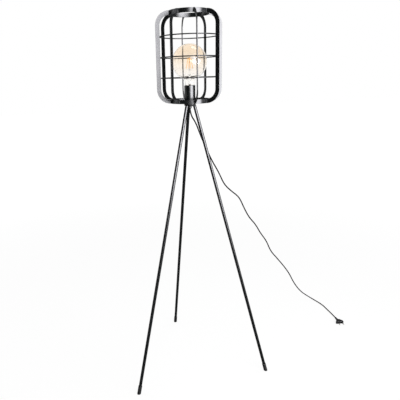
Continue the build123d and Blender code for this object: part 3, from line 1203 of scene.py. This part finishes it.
@dataclass(frozen=True)
class Softbox:
    """A soft panel that faces the lamp, with edges that fade.

    Its azimuth is in degrees from -Y towards +X, and its roll in degrees about its own axis.
    The fades are shares of its width and its height. Before the split, a share of its width,
    it glows at dim_share of its radiance.
    """

    name: str
    azimuth: float
    distance: float
    height: float
    width: float
    tall: float
    radiance: float
    for_gloss: bool = True
    for_colour: bool = True
    aim_height: float = 1.2
    roll: float = 0.0
    fade: tuple[float, float] = (0.0, 0.0)
    split: float = 0.395
    split_width: float = 0.08
    dim_share: float = 1.0
    tint: Colour = (1.0, 1.0, 1.0)

    def build(self) -> None:
        """Hangs the panel in the studio."""
        data = bpy.data.lights.new(self.name, "AREA")
        data.shape, data.size, data.size_y = "RECTANGLE", self.width, self.tall
        data.energy = math.pi * self.width * self.tall * self.radiance
        data.color = self.tint
        if max(self.fade) > 0:
            self.soften(data)
        light = bpy.data.objects.new(self.name, data)
        turn = math.radians(self.azimuth)
        away = Vector((math.sin(turn), -math.cos(turn), 0.0)) * self.distance
        light.location = away + Vector((0.0, 0.0, self.height))
        aim = Vector((0.0, 0.0, self.aim_height)) - light.location
        light.rotation_mode = "QUATERNION"
        roll = Matrix.Rotation(math.radians(self.roll), 3, "Z").to_quaternion()
        light.rotation_quaternion = aim.to_track_quat("-Z", "Y") @ roll
        light.visible_glossy = self.for_gloss
        light.visible_diffuse = self.for_colour
        light.visible_transmission = False
        show(light)
        log.info("%s: radiance %.1f", self.name, self.radiance)

    def soften(self, data: bpy.types.AreaLight) -> None:
        """Fades the panel towards its edges, and dims the part before its split.

        Args:
            data: The light that the panel is.
        """
        data.use_nodes = True
        sheet = Recipe(data.node_tree)
        across, along, _ = sheet.parts(sheet.node("ShaderNodeNewGeometry").outputs["Parametric"])
        lit = across.past(self.split, self.split_width)
        level = lit * (1.0 - self.dim_share) + self.dim_share
        for side, fade in zip((across, along), self.fade):
            edge = 0.5 - (side - 0.5).math("ABSOLUTE")
            level = level * edge.past(fade / 2, fade)
        glow = sheet.node("ShaderNodeEmission", None, {"Color": WHITE, "Strength": level})
        sheet.node("ShaderNodeOutputLight", None, {0: glow.outputs[0]})


@dataclass
class Studio:
    """The floor, the light and the camera.

    The camera's angles are in degrees. Its focal length, the column of its axis and the
    picture's width are in pixels, and the sensor's width is in millimetres. Glows and lights
    are strengths, where 1 is white, and a name with in_gloss is what gloss sees of them.
    """

    camera_at: Point = (-0.46235, -1.57042, 1.1872)
    heading: float = 12.646
    pitch: float = 15.977
    roll: float = -1.768
    focal: float = 436.815
    centre: float = 163.623
    picture: float = 400.0
    sensor: float = 36.0
    floor_half: float = 14.0
    paper: Colour = (0.16, 0.16, 0.16)
    paper_in_gloss: Colour = (0.05, 0.05, 0.05)
    floor_glow: float = 0.90
    far_glow: float = 0.12
    far_from: float = 3.0
    far_width: float = 4.0
    floor_in_gloss: float = 0.1
    room_light: float = 0.3
    room_in_gloss: float = 0.05
    backdrop_in_gloss: float = 0.25
    backdrop_edge: float = 0.35
    backdrop_fade: float = 0.7
    lights: tuple[Softbox, ...] = (
        Softbox("key", 20.0, 2.3, 1.35, 2.6, 1.7, 3.0, for_gloss=False),
        Softbox(
            "panel",
            20.0,
            2.3,
            1.53,
            3.8,
            2.0,
            17.5,
            for_colour=False,
            aim_height=1.53,
            roll=-20.0,
            fade=(0.24, 0.18),
            dim_share=0.68,
            tint=(0.96, 0.955, 1.0),
        ),
        Softbox("overhead", 104.0, 0.7, 3.1, 0.9, 0.8, 5.0),
        Softbox("fill", -110.0, 2.6, 1.3, 0.8, 2.0, 1.2),
    )

    def build(self) -> None:
        """Sets the stage."""
        self.camera()
        self.floor()
        self.world()
        for light in self.lights:
            light.build()

    def camera(self) -> None:
        """The camera, where the photograph was taken from."""
        turn, down, roll = (math.radians(angle) for angle in (self.heading, self.pitch, self.roll))
        level = Vector((math.sin(turn), math.cos(turn), 0.0))
        ahead = level * math.cos(down) - Vector((0.0, 0.0, math.sin(down)))
        right = Vector((math.cos(turn), -math.sin(turn), 0.0))
        up = right.cross(ahead)
        x_axis = right * math.cos(roll) + up * math.sin(roll)
        y_axis = up * math.cos(roll) - right * math.sin(roll)
        lens = bpy.data.cameras.new("camera")
        lens.sensor_width = self.sensor
        lens.lens = self.focal * self.sensor / self.picture
        lens.shift_x = (self.picture / 2 - self.centre) / self.picture
        camera = bpy.data.objects.new("camera", lens)
        rotation = Matrix((x_axis, y_axis, -ahead)).transposed().to_4x4()
        camera.matrix_world = Matrix.Translation(Vector(self.camera_at)) @ rotation
        show(camera)
        bpy.context.scene.camera = camera

    def floor(self) -> None:
        """A plain pale floor that fades into the background."""
        mesh = bpy.data.meshes.new("floor")
        half = self.floor_half
        corners = [(-half, -half, 0.0), (half, -half, 0.0), (half, half, 0.0), (-half, half, 0.0)]
        mesh.from_pydata(corners, [], [(0, 1, 2, 3)])
        finish = Finish("pale_floor")
        x, y, _ = finish.axes()
        away = (x * x + y * y).math("SQRT")
        shade = finish.blend(finish.ray("Glossy"), self.paper, self.paper_in_gloss)
        paper = finish.node("ShaderNodeBsdfDiffuse", None, {"Color": shade})
        glow = away.past(self.far_from, self.far_width) * self.far_glow + self.floor_glow
        values = {"Color": WHITE, "Strength": glow * self.watched(finish)}
        light = finish.node("ShaderNodeEmission", None, values)
        both = finish.node("ShaderNodeAddShader", None, {0: paper.outputs[0], 1: light.outputs[0]})
        mesh.materials.append(finish.close(both.outputs[0]))
        floor = bpy.data.objects.new("floor", mesh)
        show(floor)

    def world(self) -> None:
        """A white background in a dim room, where gloss meets the backdrop only towards +Y."""
        world = bpy.data.worlds.new("studio")
        world.use_nodes = True
        bpy.context.scene.world = world
        sky = Recipe(world.node_tree)
        _, ahead, _ = sky.parts(sky.node("ShaderNodeTexCoord").outputs["Generated"])
        behind = ahead.past(self.backdrop_edge, self.backdrop_fade)
        sheen = sky.ray("Glossy") * (behind * self.backdrop_in_gloss + self.room_in_gloss)
        mirrored = sky.ray("Singular") * behind
        direct = sky.ray("Camera") + sky.ray("Transmission")
        seen = (direct + sheen + mirrored).math("MINIMUM", 1.0)
        spread = sky.ray("Diffuse") * self.room_light
        values = {"Color": WHITE, "Strength": seen + spread}
        back = sky.node("ShaderNodeBackground", None, values)
        sky.node("ShaderNodeOutputWorld", None, {0: back.outputs[0]})
        bpy.context.scene.view_settings.view_transform = "Standard"

    def watched(self, recipe: Recipe) -> Value:
        """How much of the floor's glow a ray sees.

        Args:
            recipe: The tree that asks.

        Returns:
            1 straight on, through glass and in a mirror, little in gloss, and 0 for soft light.
        """
        direct = recipe.ray("Camera") + recipe.ray("Transmission") + recipe.ray("Singular")
        return (direct + recipe.ray("Glossy") * self.floor_in_gloss).math("MINIMUM", 1.0)


def lamp_paint() -> Paint:
    """Chooses the lamp's finishes.

    Returns:
        All of them, built.
    """
    low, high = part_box("bulb_glass")
    radius = (high.x - low.x) / 2
    cord_end = Vector(Cord.route[-1])
    heading = (cord_end - Vector(Cord.route[-2])).normalized()
    return Paint(
        [
            Lacquer(),
            Lacquer("holder_lacquer", slot="holder_black"),
            MouldedBlack("grip_black", slot="cord_black"),
            MouldedBlack("hub_black", (0.0040, 0.0046, 0.0050), 0.62, slot="black_lacquer"),
            BareMetal("plated_steel", (0.62, 0.63, 0.64), (0.44, 0.45, 0.46)),
            BareMetal("brass", (0.78, 0.57, 0.25), (0.50, 0.34, 0.14)),
            BareMetal("nickel_brass", (0.66, 0.64, 0.60), (0.50, 0.48, 0.45)),
            Ceramic(),
            MouldedBlack("wire_insulation", (0.30, 0.12, 0.05), 0.4, 1.0 * MM, slot="wire_insulation"),
            Jacket(),
            GlobeGlass(high.z - radius, radius),
            PlainGlass("black_glass", (0.010, 0.010, 0.012), 0.0),
            PlainGlass("clear_glass", (0.97, 0.98, 0.98), ior=1.35),
            Phosphor(),
            Rubber(),
            PinMetal(cord_end + heading * PLUG_REACH, heading),
        ]
    )


def main() -> None:
    """Builds the lamp and its studio."""
    logging.basicConfig(level=logging.INFO, format="%(name)s: %(message)s")
    paint = lamp_paint()
    thread = thread_pattern()
    Cord(paint).build()
    Cage(paint).build()
    Lampholder(paint, thread).build()
    Bulb(paint, thread).build()
    Legs(paint, thread).build()
    Studio().build()


if __name__ == "__main__":
    main()
